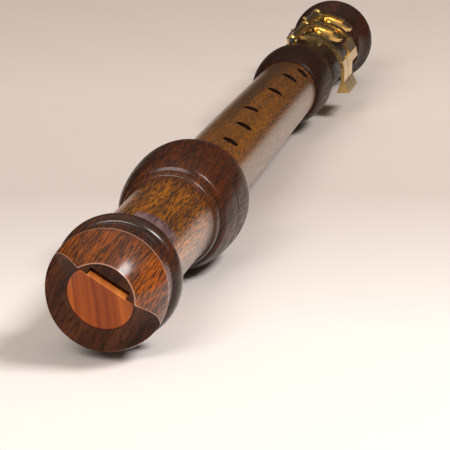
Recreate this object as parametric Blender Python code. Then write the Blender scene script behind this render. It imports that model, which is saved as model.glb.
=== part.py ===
"""Tenor recorder in three joints, with a C and a C sharp key on its foot.

The instrument is modelled in its own frame: x to the player's right, y along the bore
from the beak to the foot, z towards the finger holes. An empty then lays it down, rolled
and resting on its head bulge and the bell of its foot. Sizes are in metres.
"""
from math import asin, cos, pi, radians, sin, sqrt

import bmesh
import bpy
from mathutils import Matrix, Vector

MM = 0.001
SEAT_GAP = 0.3 * MM
SIDES = 40

# Attitude of the instrument as it lies
ROLL = radians(32.0)

# Joints along the bore, measured from the tip of the beak
HEAD_END = 210 * MM
FOOT_START = 466 * MM
TOTAL_LENGTH = 640 * MM

# Outer shape
TIP_RADIUS = 13.7 * MM
RIDGE_RADIUS = 23.0 * MM
RIDGE = 18 * MM
BEAD_RADIUS = 24.2 * MM
NECK_RADIUS = 18.0 * MM
BULGE_RADIUS = 25.0 * MM
TUBE_TOP_RADIUS = 15.9 * MM
TUBE_END_RADIUS = 14.7 * MM
FOOT_BULGE_RADIUS = 18.6 * MM
FOOT_RADIUS = 15.7 * MM
BELL_RADIUS = 20.9 * MM

# Bore, sockets and tenons
HEAD_BORE = 13.1 * MM
MIDDLE_BORE_TOP = 12.0 * MM
MIDDLE_BORE_END = 8.8 * MM
FOOT_BORE = 8.4 * MM
BELL_BORE = 10.2 * MM
UPPER_SOCKET = 15.3 * MM
UPPER_SOCKET_DEPTH = 38 * MM
LOWER_SOCKET = 12.8 * MM
LOWER_SOCKET_DEPTH = 34 * MM
TENON_CORE_STEP = 0.6 * MM
CORK_DEPTH = 1.6 * MM
CORK_END_LAND = 6 * MM

# Windway, window and labium
WINDWAY_FLOOR = 7.8 * MM
SHOULDER = 6.7 * MM
WINDWAY_HEIGHT = 1.6 * MM
WINDWAY_WIDTH = 17.0 * MM
WINDWAY_LENGTH = 49.5 * MM
WINDOW_WIDTH = 18.6 * MM
CUT_UP = 7 * MM
LABIUM_HEIGHT = 8.8 * MM
LABIUM_LENGTH = 15.5 * MM
LABIUM_EDGE = 0.5 * MM
BORE_FLAT_END = 92 * MM
BLOCK_CHAMFER_HEIGHT = 1.6 * MM
BLOCK_CHAMFER_DEPTH = 1.3 * MM

# Hollow cut of the beak: a round across the instrument that falls away at its sides
CUT_RADIUS = 58.7 * MM
CUT_CENTRE_Y = -40.9 * MM
CUT_CENTRE_Z = -36 * MM
CUT_SIDE_START = 12.4 * MM
CUT_SIDE_SLOPE = 1.2
CUT_SIDE_SOFTNESS = 1 * MM
CUT_SIDE_FADE = 20 * MM

# Finger holes: name, place along the bore, turn to the player's right, radius
FINGER_HOLES = (
    ("first", 251.5 * MM, radians(-3), 3.7 * MM),
    ("second", 290 * MM, radians(-4), 3.8 * MM),
    ("third", 328 * MM, radians(-15), 3.6 * MM),
    ("fourth", 385 * MM, radians(-5), 3.8 * MM),
    ("fifth", 429.5 * MM, radians(-3), 3.9 * MM),
    ("sixth", 455 * MM, radians(9), 3.5 * MM),
    ("thumb", 230 * MM, radians(177), 3.6 * MM),
)

# Key work on the foot
ROD_X = -13.0 * MM
ROD_Z = 14.2 * MM
ROD_RADIUS = 0.9 * MM
TUBE_BORE = ROD_RADIUS + SEAT_GAP
TUBE_RADIUS = 1.9 * MM
POST_BALL = 2.7 * MM
POST_SHANK = 1.6 * MM
POST_SHANK_DEPTH = 4 * MM
POST_FLANGE = 2.6 * MM
POST_PLACES = (509 * MM, 557 * MM, 600 * MM)
KEYS = (
    {"name": "c_sharp", "tube": POST_PLACES[:2], "hole": 548 * MM, "hole_radius": 4.0 * MM,
     "arm": 521 * MM, "paddle": (517 * MM, 532 * MM)},
    {"name": "c", "tube": POST_PLACES[1:], "hole": 585 * MM, "hole_radius": 4.6 * MM,
     "arm": 566 * MM, "paddle": (533 * MM, 548 * MM)},
)
KEY_OPEN = radians(11)
PAD_SEAT = 14.4 * MM
PAD_SEAT_RADIUS = 9.0 * MM
PAD_THICKNESS = 2.2 * MM
PAD_RADIUS = 6.6 * MM
CUP_WALL = 0.8 * MM
CUP_DEPTH = 1.5 * MM
LEVER_THICKNESS = 1.8 * MM
TOUCH_RADIUS = 17.6 * MM
TOUCH_TIP = (19.8 * MM, -2.1 * MM)
LIP_WIDTH = 6.4 * MM
SPRING_RADIUS = 0.4 * MM


def clear_scene():
    """Remove every object of the open file."""
    for item in list(bpy.data.objects):
        bpy.data.objects.remove(item, do_unlink=True)


def material(name, colour, roughness, metallic=0.0):
    """A plain material of one colour."""
    made = bpy.data.materials.new(name)
    made.use_nodes = True
    shader = made.node_tree.nodes["Principled BSDF"]
    shader.inputs["Base Color"].default_value = (*colour, 1.0)
    shader.inputs["Roughness"].default_value = roughness
    shader.inputs["Metallic"].default_value = metallic
    return made


def make_object(name, mesh_source, look=None, smooth=True):
    """Turn a bmesh into a named object with outward faces."""
    bmesh.ops.recalc_face_normals(mesh_source, faces=mesh_source.faces)
    mesh = bpy.data.meshes.new(name)
    mesh_source.to_mesh(mesh)
    mesh_source.free()
    made = bpy.data.objects.new(name, mesh)
    bpy.context.scene.collection.objects.link(made)
    if look is not None:
        mesh.materials.append(look)
    if smooth:
        mesh.shade_smooth()
        mesh.set_sharp_from_angle(angle=radians(32))
    return made


def turned(profile, sides=SIDES):
    """A solid of revolution around the y axis from (y, radius) points, closed at both ends."""
    shape = bmesh.new()
    rings = []
    for along, radius in profile:
        ring = []
        for step in range(sides):
            angle = 2 * pi * step / sides - ROLL
            ring.append(shape.verts.new((radius * sin(angle), along, radius * cos(angle))))
        rings.append(ring)
    for first, second in zip(rings, rings[1:]):
        for step in range(sides):
            after = (step + 1) % sides
            shape.faces.new((first[step], first[after], second[after], second[step]))
    shape.faces.new(rings[0])
    shape.faces.new(rings[-1])
    return shape


def turned_ring(outer, inner, sides=SIDES):
    """A ring around the y axis: an outer and an inner profile that run the same way."""
    shape = bmesh.new()
    loops = []
    for along, radius in list(outer) + list(reversed(inner)):
        ring = []
        for step in range(sides):
            angle = 2 * pi * step / sides - ROLL
            ring.append(shape.verts.new((radius * sin(angle), along, radius * cos(angle))))
        loops.append(ring)
    for index, first in enumerate(loops):
        second = loops[(index + 1) % len(loops)]
        for step in range(sides):
            after = (step + 1) % sides
            shape.faces.new((first[step], first[after], second[after], second[step]))
    return shape


def rounded(start, peak, end, steps=4):
    """Points of a half round from start over peak to end, each given as (y, radius)."""
    points = []
    for step in range(1, 2 * steps):
        angle = pi * step / (2 * steps)
        side = start if angle < pi / 2 else end
        along = peak[0] + (side[0] - peak[0]) * abs(cos(angle))
        radius = side[1] + (peak[1] - side[1]) * sin(angle)
        points.append((along, radius))
    return [start] + points + [end]


def prism(outline, start, end):
    """An outline in the x and z plane, drawn out along y."""
    shape = bmesh.new()
    front = [shape.verts.new((x, start, z)) for x, z in outline]
    back = [shape.verts.new((x, end, z)) for x, z in outline]
    count = len(outline)
    for step in range(count):
        after = (step + 1) % count
        shape.faces.new((front[step], front[after], back[after], back[step]))
    shape.faces.new(front)
    shape.faces.new(back)
    return shape


def side_prism(outline, half_width):
    """An outline in the y and z plane, drawn out evenly to both sides."""
    shape = bmesh.new()
    left = [shape.verts.new((-half_width, y, z)) for y, z in outline]
    right = [shape.verts.new((half_width, y, z)) for y, z in outline]
    count = len(outline)
    for step in range(count):
        after = (step + 1) % count
        shape.faces.new((left[step], left[after], right[after], right[step]))
    shape.faces.new(left)
    shape.faces.new(right)
    return shape


def rod(start, end, radius, sides=16):
    """A round bar between two points."""
    shape = bmesh.new()
    along = Vector(end) - Vector(start)
    bmesh.ops.create_cone(shape, cap_ends=True, segments=sides, radius1=radius, radius2=radius,
                          depth=along.length)
    turn = Vector((0, 0, 1)).rotation_difference(along).to_matrix().to_4x4()
    middle = (Vector(start) + Vector(end)) / 2
    bmesh.ops.transform(shape, matrix=Matrix.Translation(middle) @ turn, verts=shape.verts)
    return shape


def cut(target, cutter):
    """Take a cutter's shape out of a piece, and keep the cutter as a hidden guide."""
    cutter.hide_render = True
    cutter.display_type = "WIRE"
    cutter.parent = target
    step = target.modifiers.new("cut " + cutter.name, "BOOLEAN")
    step.operation = "DIFFERENCE"
    step.object = cutter
    return cutter


def join_shape(target, extra):
    """Add a shape to a piece by a union, and keep it as a hidden guide."""
    extra.hide_render = True
    extra.display_type = "WIRE"
    extra.parent = target
    step = target.modifiers.new("join " + extra.name, "BOOLEAN")
    step.operation = "UNION"
    step.object = extra
    return extra


def close_sides(shape, near, far):
    """Close the four sides between two grids of the same size."""
    rows, columns = len(near) - 1, len(near[0]) - 1
    for row in range(rows):
        for column in (0, columns):
            shape.faces.new((near[row][column], near[row + 1][column],
                             far[row + 1][column], far[row][column]))
    for column in range(columns):
        for row in (0, rows):
            shape.faces.new((near[row][column], near[row][column + 1],
                             far[row][column + 1], far[row][column]))


def beak_cut_depth(x, z):
    """Depth behind the tip to which the beak is hollowed at a place of its cross-section."""
    depth = CUT_CENTRE_Y + sqrt(CUT_RADIUS ** 2 - (z - CUT_CENTRE_Z) ** 2)
    outside = abs(x) - CUT_SIDE_START
    side = (outside + sqrt(outside ** 2 + CUT_SIDE_SOFTNESS ** 2)) / 2
    fade = min(max((z + CUT_SIDE_FADE) / CUT_SIDE_FADE, 0.0), 1.0)
    return depth + CUT_SIDE_SLOPE * side * fade


def beak_cutter(name):
    """The body of air in front of the hollow cut."""
    reach, columns, rows = 27 * MM, 18, 16
    top, front, shallow = 11.5 * MM, -20 * MM, -3 * MM
    shape = bmesh.new()
    near, far = [], []
    for row in range(rows + 1):
        z = -reach + (top + reach) * row / rows
        near.append([])
        far.append([])
        for column in range(columns + 1):
            x = -reach + 2 * reach * column / columns
            near[row].append(shape.verts.new((x, front, z)))
            far[row].append(shape.verts.new((x, max(beak_cut_depth(x, z), shallow), z)))
    for row in range(rows):
        for column in range(columns):
            for grid in (near, far):
                shape.faces.new((grid[row][column], grid[row][column + 1],
                                 grid[row + 1][column + 1], grid[row + 1][column]))
    close_sides(shape, near, far)
    return make_object(name, shape)


def flat_bore_outline(radius, flat, sides=40):
    """Outline of a round bore whose top is cut off flat."""
    edge = asin(flat / radius)
    outline = []
    for step in range(sides + 1):
        angle = edge - (pi + 2 * edge) * step / sides
        outline.append((radius * cos(angle), radius * sin(angle)))
    return outline


def beak_profile():
    """Outer shape from the flat tip of the beak to the ridge behind it, a flat dome."""
    points = []
    steps = 7
    for step in range(steps + 1):
        share = step / steps
        swell = 1.5 * share - 0.5 * share ** 2
        points.append((RIDGE * share, TIP_RADIUS + (RIDGE_RADIUS - TIP_RADIUS) * swell))
    return points


def head_profile():
    """Outer shape of the head joint."""
    profile = beak_profile()
    profile += [(19 * MM, RIDGE_RADIUS), (20 * MM, 22.2 * MM), (26 * MM, 21.7 * MM),
                (31.4 * MM, 21.8 * MM), (32 * MM, 21.4 * MM), (32.6 * MM, 21.9 * MM)]
    profile += rounded((35.2 * MM, 21.9 * MM), (40 * MM, BEAD_RADIUS), (45 * MM, 21.2 * MM))
    profile += [(46.6 * MM, 19.8 * MM), (50 * MM, 18.9 * MM), (58 * MM, 18.2 * MM),
                (75 * MM, NECK_RADIUS), (125 * MM, NECK_RADIUS), (140 * MM, 18.3 * MM)]
    profile += rounded((144 * MM, 18.7 * MM), (148 * MM, 20.0 * MM), (151.2 * MM, 19.3 * MM), 3)
    profile += [(151.8 * MM, 20.4 * MM), (152.8 * MM, 21.6 * MM), (156 * MM, 22.6 * MM),
                (162 * MM, 23.7 * MM), (168.6 * MM, 24.3 * MM), (169.4 * MM, 23.8 * MM),
                (170.2 * MM, 24.4 * MM), (178 * MM, 24.85 * MM), (187 * MM, BULGE_RADIUS),
                (194 * MM, 24.6 * MM), (199 * MM, 23.7 * MM), (203 * MM, 22.5 * MM),
                (204.6 * MM, 21.9 * MM), (206 * MM, 22.0 * MM), (208.4 * MM, 21.6 * MM),
                (209.6 * MM, 20.6 * MM), (HEAD_END, 19.4 * MM)]
    return profile


def make_head(look):
    """Head joint with its beak, windway, window, labium, bore and socket."""
    head = make_object("head_joint", turned(head_profile()), look)
    over = 5 * MM
    roof = WINDWAY_FLOOR + WINDWAY_HEIGHT
    window_start, window_end = WINDWAY_LENGTH, WINDWAY_LENGTH + CUT_UP
    half = WINDWAY_WIDTH / 2
    cut(head, beak_cutter("air before the beak"))
    cut(head, make_object("block bore", prism(flat_bore_outline(HEAD_BORE, SHOULDER), -over,
                                              window_start)))
    cut(head, make_object("windway", prism([(-half, 0), (half, 0), (half, roof), (-half, roof)],
                                           -over, window_end - MM)))
    cut(head, make_object("flat bore", prism(flat_bore_outline(HEAD_BORE,
                                                               LABIUM_HEIGHT - LABIUM_EDGE),
                                             window_start - MM, BORE_FLAT_END)))
    socket_start = HEAD_END - UPPER_SOCKET_DEPTH
    cut(head, make_object("round bore", turned([(BORE_FLAT_END - MM, HEAD_BORE),
                                                (socket_start + MM, HEAD_BORE)])))
    cut(head, make_object("socket", turned([(socket_start, UPPER_SOCKET),
                                            (HEAD_END + over, UPPER_SOCKET)])))
    low, high = 2 * MM, 2 * NECK_RADIUS
    window = [(window_start, low), (window_end, low), (window_end, high), (window_start, high)]
    cut(head, make_object("window", side_prism(window, WINDOW_WIDTH / 2)))
    cut(head, ramp_cutter("labium ramp", window_end))
    return head


def ramp_cutter(name, start):
    """The body of air over the labium, from its straight edge to the round of the neck."""
    columns, rows, top = 12, 6, 30 * MM
    half = WINDOW_WIDTH / 2 - 0.1 * MM
    surface = NECK_RADIUS + 0.5 * MM
    grids = [[], []]
    shape = bmesh.new()
    for row in range(-1, rows + 1):
        share = max(row, 0) / rows
        along = start + LABIUM_LENGTH * share - (MM if row < 0 else 0)
        low, high = [], []
        for column in range(columns + 1):
            x = -half + 2 * half * column / columns
            z = LABIUM_HEIGHT + (sqrt(surface ** 2 - x ** 2) - LABIUM_HEIGHT) * share
            low.append(shape.verts.new((x, along, z)))
            high.append(shape.verts.new((x, along, top)))
        grids[0].append(low)
        grids[1].append(high)
    count = rows + 1
    for row in range(count):
        for column in range(columns):
            for grid in grids:
                shape.faces.new((grid[row][column], grid[row][column + 1],
                                 grid[row + 1][column + 1], grid[row + 1][column]))
    close_sides(shape, grids[0], grids[1])
    return make_object(name, shape)


def make_block(look):
    """Cedar block that closes the bore under the windway."""
    radius = HEAD_BORE - SEAT_GAP
    edge = WINDWAY_WIDTH / 2 - SEAT_GAP
    low_edge = SHOULDER - SEAT_GAP
    outline = flat_bore_outline(radius, low_edge)
    outline += [(-edge, low_edge), (-edge, WINDWAY_FLOOR), (edge, WINDWAY_FLOOR), (edge, low_edge)]
    block = make_object("windway_block", prism(outline, 0, WINDWAY_LENGTH - 0.5 * MM), look)
    cut(block, beak_cutter("air before the block"))
    low = WINDWAY_FLOOR - BLOCK_CHAMFER_HEIGHT
    over = 5 * MM
    slope = BLOCK_CHAMFER_HEIGHT / BLOCK_CHAMFER_DEPTH
    chamfer = [(-over, low - over * slope), (BLOCK_CHAMFER_DEPTH, WINDWAY_FLOOR),
               (BLOCK_CHAMFER_DEPTH, WINDWAY_FLOOR + over), (-over, WINDWAY_FLOOR + over)]
    cut(block, make_object("lip chamfer", side_prism(chamfer, 20 * MM)))
    return block


def middle_bore_radius(along):
    """Radius of the tapered bore at a place along the middle joint."""
    start = HEAD_END - UPPER_SOCKET_DEPTH
    end = FOOT_START + LOWER_SOCKET_DEPTH
    share = (along - start) / (end - start)
    return MIDDLE_BORE_TOP + (MIDDLE_BORE_END - MIDDLE_BORE_TOP) * share


def cork_span(start, end):
    """Both ends of a cork between the lands of its tenon."""
    return start + CORK_END_LAND, end - CORK_END_LAND


def tenon_profile(start, end, radius):
    """Outer shape of a tenon with the groove of its cork."""
    groove_start, groove_end = cork_span(start, end)
    floor = radius - CORK_DEPTH
    return [(start, radius - 0.6 * MM), (start + 0.8 * MM, radius), (groove_start, radius),
            (groove_start, floor), (groove_end, floor), (groove_end, radius), (end, radius)]


UPPER_TENON = UPPER_SOCKET - TENON_CORE_STEP
LOWER_TENON = LOWER_SOCKET - TENON_CORE_STEP
UPPER_TENON_START = HEAD_END - UPPER_SOCKET_DEPTH + SEAT_GAP
LOWER_TENON_END = FOOT_START + LOWER_SOCKET_DEPTH - SEAT_GAP


def middle_profile():
    """Outer shape of the middle joint, with a tenon at each end."""
    tube_start = HEAD_END + SEAT_GAP
    tube_end = FOOT_START - SEAT_GAP
    profile = tenon_profile(UPPER_TENON_START, tube_start, UPPER_TENON)
    profile += [(tube_start, TUBE_TOP_RADIUS - 0.4 * MM), (tube_start + 0.5 * MM, TUBE_TOP_RADIUS),
                (311 * MM, 15.7 * MM), (373 * MM, 15.3 * MM), (420 * MM, 14.9 * MM),
                (tube_end - 0.5 * MM, TUBE_END_RADIUS), (tube_end, TUBE_END_RADIUS - 0.4 * MM)]
    lower = tenon_profile(-LOWER_TENON_END, -tube_end, LOWER_TENON)
    profile += [(-along, radius) for along, radius in reversed(lower)]
    return profile


def make_middle(look):
    """Middle joint with six finger holes and the thumb hole."""
    inner = [(UPPER_TENON_START, middle_bore_radius(UPPER_TENON_START)),
             (LOWER_TENON_END, middle_bore_radius(LOWER_TENON_END))]
    middle = make_object("middle_joint", turned_ring(middle_profile(), inner), look)
    for name, along, turn, radius in FINGER_HOLES:
        out = Vector((sin(turn), 0, cos(turn)))
        start = out * 6 * MM + Vector((0, along, 0))
        end = out * 22 * MM + Vector((0, along, 0))
        cut(middle, make_object(name + " hole", rod(start, end, radius, 20)))
    return middle


def make_cork(name, start, end, tenon, look):
    """Cork ring in the groove of a tenon."""
    first, last = cork_span(start, end)
    first += SEAT_GAP
    last -= SEAT_GAP
    floor = tenon - CORK_DEPTH + SEAT_GAP
    top = tenon + SEAT_GAP
    outer = [(first, top - 0.3 * MM), (first + 0.4 * MM, top), (last - 0.4 * MM, top),
             (last, top - 0.3 * MM)]
    return make_object(name, turned_ring(outer, [(first, floor), (last, floor)]), look)


def foot_profile():
    """Outer shape of the foot joint."""
    profile = [(FOOT_START, 15.0 * MM)]
    profile += [(467.2 * MM, 16.2 * MM), (470 * MM, 17.1 * MM), (475 * MM, 17.9 * MM),
                (482 * MM, 18.4 * MM), (490 * MM, FOOT_BULGE_RADIUS), (498 * MM, 18.3 * MM),
                (503 * MM, 17.6 * MM), (505.4 * MM, 16.9 * MM), (506 * MM, 16.0 * MM)]
    profile += [(512 * MM, FOOT_RADIUS), (560 * MM, FOOT_RADIUS), (604 * MM, FOOT_RADIUS)]
    profile += rounded((611 * MM, 16.0 * MM), (614 * MM, 17.6 * MM), (617 * MM, 16.4 * MM), 3)
    profile += [(621 * MM, 16.7 * MM), (626 * MM, 17.9 * MM), (630 * MM, 19.5 * MM),
                (632 * MM, 20.3 * MM), (634.5 * MM, BELL_RADIUS), (637 * MM, BELL_RADIUS),
                (639.2 * MM, 20.3 * MM), (TOTAL_LENGTH, 19.2 * MM)]
    return profile


def make_foot(look):
    """Foot joint with its socket, bore, two tone holes and the seats of its pads."""
    socket_end = FOOT_START + LOWER_SOCKET_DEPTH
    inner = [(FOOT_START, LOWER_SOCKET), (socket_end, LOWER_SOCKET), (socket_end, FOOT_BORE),
             (600 * MM, FOOT_BORE), (626 * MM, 9.0 * MM), (TOTAL_LENGTH, BELL_BORE)]
    foot = make_object("foot_joint", turned_ring(foot_profile(), inner), look)
    for key in KEYS:
        place = Vector((0, key["hole"], 0))
        hole = rod(place + Vector((0, 0, 4 * MM)), place + Vector((0, 0, 22 * MM)),
                   key["hole_radius"], 24)
        cut(foot, make_object(key["name"] + " tone hole", hole))
        seat = rod(place + Vector((0, 0, PAD_SEAT)), place + Vector((0, 0, 24 * MM)),
                   PAD_SEAT_RADIUS, 32)
        cut(foot, make_object(key["name"] + " pad seat", seat))
    for index, along in enumerate(POST_PLACES):
        out = rod_direction()
        base = Vector((0, along, 0))
        hole = rod(base + out * (FOOT_RADIUS - POST_SHANK_DEPTH - SEAT_GAP), base + out * 22 * MM,
                   POST_SHANK + SEAT_GAP, 12)
        cut(foot, make_object("post hole %d" % (index + 1), hole))
    return foot


def rod_direction():
    """Direction from the bore's axis to the key rod."""
    return Vector((ROD_X, 0, ROD_Z)).normalized()


def make_post(name, along, look):
    """Turned brass post with a ball that carries the key rod."""
    out = rod_direction()
    height = sqrt(ROD_X ** 2 + ROD_Z ** 2)
    base = Vector((0, along, 0))
    shape = bmesh.new()
    profile = [(FOOT_RADIUS - POST_SHANK_DEPTH, POST_SHANK), (FOOT_RADIUS + SEAT_GAP, POST_SHANK),
               (FOOT_RADIUS + SEAT_GAP, POST_FLANGE), (FOOT_RADIUS + 0.9 * MM, POST_FLANGE),
               (FOOT_RADIUS + 1.2 * MM, 1.9 * MM)]
    steps = 6
    for step in range(1, steps):
        angle = radians(140) - radians(140) * step / steps
        profile.append((height - POST_BALL * -cos(angle), POST_BALL * sin(angle)))
    profile.append((height + POST_BALL, 0.4 * MM))
    side = out.cross(Vector((0, 1, 0)))
    rings = []
    sides = 16
    for reach, radius in profile:
        ring = []
        for step in range(sides):
            angle = 2 * pi * step / sides
            place = base + out * reach + (side * cos(angle) + Vector((0, 1, 0)) * sin(angle)) * radius
            ring.append(shape.verts.new(place))
        rings.append(ring)
    for first, second in zip(rings, rings[1:]):
        for step in range(sides):
            after = (step + 1) % sides
            shape.faces.new((first[step], first[after], second[after], second[step]))
    shape.faces.new(rings[0])
    shape.faces.new(rings[-1])
    post = make_object(name, shape, look)
    reach = 6 * MM
    hole = rod((ROD_X, along - reach, ROD_Z), (ROD_X, along + reach, ROD_Z), TUBE_BORE, 16)
    cut(post, make_object(name + " rod hole", hole))
    return post


def on_hinge(piece):
    """Give a key piece the rod as its origin, and swing it open."""
    piece.location = (ROD_X, 0, ROD_Z)
    piece.rotation_euler = (0, -KEY_OPEN, 0)
    return piece


def strip(path, thickness, start, end):
    """A bent strip of even thickness whose middle line runs in the x and z plane."""
    outer, inner = [], []
    for index, (x, z) in enumerate(path):
        before = Vector(path[max(index - 1, 0)])
        after = Vector(path[min(index + 1, len(path) - 1)])
        along = (after - before).normalized()
        across = Vector((-along.y, along.x)) * thickness / 2
        outer.append((x + across.x, z + across.y))
        inner.append((x - across.x, z - across.y))
    return prism(outer + list(reversed(inner)), start, end)


def key_tube(key, look):
    """Hinge tube of a key, with the hook that its spring pushes."""
    start = key["tube"][0] + POST_BALL + SEAT_GAP
    end = key["tube"][1] - POST_BALL - SEAT_GAP
    outer = [(start, TUBE_RADIUS), (end, TUBE_RADIUS)]
    inner = [(start, TUBE_BORE), (end, TUBE_BORE)]
    tube = make_object(key["name"] + "_key_tube", turned_ring(outer, inner, 20), look)
    hook_along = start + 20 * MM if key["name"] == "c_sharp" else end - 20 * MM
    hook = prism([(-4 * MM, -0.7 * MM), (-1.5 * MM, -MM), (-1.5 * MM, 0), (-4 * MM, 0.5 * MM)],
                 hook_along - 0.8 * MM, hook_along + 0.8 * MM)
    join_shape(tube, make_object(key["name"] + " spring hook", hook))
    return on_hinge(tube)


def cup_profile():
    """Outer and inner shape of a pad cup, as (height, radius) from the closed pad's face."""
    rim = PAD_THICKNESS - CUP_DEPTH
    top = PAD_THICKNESS + SEAT_GAP
    inner = PAD_RADIUS + SEAT_GAP
    outer = inner + CUP_WALL
    return [(rim, inner), (rim, outer), (top - 0.2 * MM, outer), (top + 0.7 * MM, outer - 1.2 * MM),
            (top + 1.1 * MM, outer - 4 * MM), (top + 1.2 * MM, 0.3 * MM)], (top, inner)


def key_cup(key, look):
    """Domed cup over its pad, with the arm that joins it to the tube."""
    outer, (ceiling, inner) = cup_profile()
    shape = bmesh.new()
    sides = 28
    seat = PAD_SEAT + SEAT_GAP - ROD_Z
    rings = []
    for height, radius in outer + [(ceiling, 0.3 * MM), (ceiling, inner)]:
        ring = []
        for step in range(sides):
            angle = 2 * pi * step / sides
            ring.append(shape.verts.new((-ROD_X + radius * cos(angle), key["hole"] + radius * sin(angle),
                                         seat + height)))
        rings.append(ring)
    top = len(outer) - 1
    for index, first in enumerate(rings):
        second = rings[(index + 1) % len(rings)]
        if index == top:
            continue
        for step in range(sides):
            after = (step + 1) % sides
            shape.faces.new((first[step], first[after], second[after], second[step]))
    shape.faces.new(rings[top])
    shape.faces.new(rings[top + 1])
    cup = make_object(key["name"] + "_key_cup", shape, look)
    lift = seat + outer[-1][0] - 0.3 * MM
    path = [(TUBE_RADIUS + SEAT_GAP, 0.6 * MM), (4.2 * MM, lift * 0.75), (7 * MM, lift + 0.5 * MM),
            (-ROD_X + 2.5 * MM, lift + 0.6 * MM)]
    arm = strip(path, LEVER_THICKNESS, key["hole"] - 2.6 * MM, key["hole"] + 2.6 * MM)
    join_shape(cup, make_object(key["name"] + " cup arm", arm))
    return on_hinge(cup)


def key_pad(key, look):
    """Round pad in the cup."""
    seat = PAD_SEAT + SEAT_GAP - ROD_Z
    start = Vector((-ROD_X, key["hole"], seat))
    pad = make_object(key["name"] + "_key_pad",
                      rod(start, start + Vector((0, 0, PAD_THICKNESS)), PAD_RADIUS, 28), look)
    return on_hinge(pad)


def touch_path():
    """Middle line of a touch over the foot, from the tube to its tip at the player's right."""
    points = [(ROD_X + TUBE_RADIUS + SEAT_GAP, ROD_Z + 0.7 * MM)]
    for turn in (-22, -4, 14, 32, 50, 64):
        points.append((TOUCH_RADIUS * sin(radians(turn)), TOUCH_RADIUS * cos(radians(turn))))
    points += [(16.9 * MM, 4.4 * MM), (18.2 * MM, 1.4 * MM), TOUCH_TIP]
    return [(x - ROD_X, z - ROD_Z) for x, z in points]


def key_touch(key, look):
    """Touch of a key: an arm over the foot that widens into a curved paddle with a thick lip."""
    path = touch_path()
    half = 3.2 * MM
    arm = strip(path[:7], LEVER_THICKNESS, key["arm"] - half, key["arm"] + half)
    touch = make_object(key["name"] + "_key_touch", arm, look)
    paddle = strip(path[5:], LEVER_THICKNESS, *key["paddle"])
    join_shape(touch, make_object(key["name"] + " paddle", paddle))
    neck, tip = Vector(path[-3]), Vector(path[-1])
    out = (tip - neck).normalized()
    across = Vector((-out.y, out.x)) * LIP_WIDTH / 2
    lip = [neck, tip + across * 0.8 - out * MM, tip + across + out * 0.6 * MM,
           tip - across + out * 0.6 * MM, tip - across * 0.8 - out * MM]
    join_shape(touch, make_object(key["name"] + " lip", prism([(p.x, p.y) for p in lip], *key["paddle"])))
    if key["arm"] > key["paddle"][1]:
        link = strip(path[4:7], LEVER_THICKNESS, key["paddle"][1] - MM, key["arm"] + half)
        join_shape(touch, make_object(key["name"] + " link", link))
    return on_hinge(touch)


def make_spring(name, start, end, look):
    """Needle spring beside a hinge tube, from its post to the tube's hook."""
    x = ROD_X - 2.45 * MM
    z = ROD_Z + 0.9 * MM
    return make_object(name, rod((x, start, z), (x, end, z), SPRING_RADIUS, 10), look)


def lay_down(pieces):
    """Roll the instrument, slope it on its two supports and put the origin under its middle."""
    frame = bpy.data.objects.new("lying instrument", None)
    bpy.context.scene.collection.objects.link(frame)
    for piece in bpy.data.objects:
        if piece is not frame and piece.parent is None:
            piece.parent = frame
    slope = asin((BULGE_RADIUS - BELL_RADIUS) / (635.75 * MM - 187 * MM))
    turn = Matrix.Rotation(-slope, 4, "X") @ Matrix.Rotation(ROLL, 4, "Y")
    frame.matrix_world = turn
    bpy.context.view_layer.update()
    graph = bpy.context.evaluated_depsgraph_get()
    corners = []
    for piece in pieces:
        shown = piece.evaluated_get(graph)
        corners += [shown.matrix_world @ corner.co for corner in shown.data.vertices]
    low = Vector([min(corner[axis] for corner in corners) for axis in range(3)])
    high = Vector([max(corner[axis] for corner in corners) for axis in range(3)])
    middle = (low + high) / 2
    frame.matrix_world = Matrix.Translation((-middle.x, -middle.y, -low.z)) @ turn
    bpy.context.view_layer.update()


def main():
    """Build every piece and lay the instrument down."""
    clear_scene()
    rosewood = material("rosewood", (0.10, 0.035, 0.015), 0.25)
    cedar = material("cedar", (0.55, 0.16, 0.03), 0.6)
    cork = material("cork", (0.55, 0.38, 0.22), 0.85)
    brass = material("brass", (0.75, 0.52, 0.18), 0.25, 1.0)
    steel = material("blued steel", (0.18, 0.19, 0.24), 0.3, 1.0)
    leather = material("pad leather", (0.72, 0.60, 0.45), 0.7)
    pieces = [make_head(rosewood), make_block(cedar), make_middle(rosewood), make_foot(rosewood)]
    pieces.append(make_cork("upper_tenon_cork", UPPER_TENON_START, HEAD_END + SEAT_GAP,
                            UPPER_TENON, cork))
    pieces.append(make_cork("lower_tenon_cork", FOOT_START - SEAT_GAP, LOWER_TENON_END,
                            LOWER_TENON, cork))
    for name, along in zip(("upper_post", "middle_post", "lower_post"), POST_PLACES):
        pieces.append(make_post(name, along, brass))
    over = POST_BALL + 1.5 * MM
    rod_shape = rod((ROD_X, POST_PLACES[0] - over, ROD_Z), (ROD_X, POST_PLACES[-1] + over, ROD_Z),
                    ROD_RADIUS, 16)
    pieces.append(make_object("key_rod", rod_shape, steel))
    for key in KEYS:
        pieces.append(key_tube(key, brass))
        pieces.append(key_cup(key, brass))
        pieces.append(key_pad(key, leather))
        pieces.append(key_touch(key, brass))
    gap = 2.05 * MM
    pieces.append(make_spring("c_sharp_key_spring", POST_PLACES[0] + gap, POST_PLACES[0] + gap + 24 * MM,
                              steel))
    pieces.append(make_spring("c_key_spring", POST_PLACES[2] - gap - 24 * MM, POST_PLACES[2] - gap, steel))
    lay_down(pieces)


main()
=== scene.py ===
"""Looks of a tenor recorder that lies on a pale table, seen from its beak.

Every piece is shaped in the instrument's own frame: x to the player's right, y along the bore from
the beak to the foot, z towards the finger holes. Attitude lays it into the row frame. Sizes are in
metres, and the sizes of a profile are written in millimetres.
"""

import logging
import math
from dataclasses import dataclass, field
from enum import Enum

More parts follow.
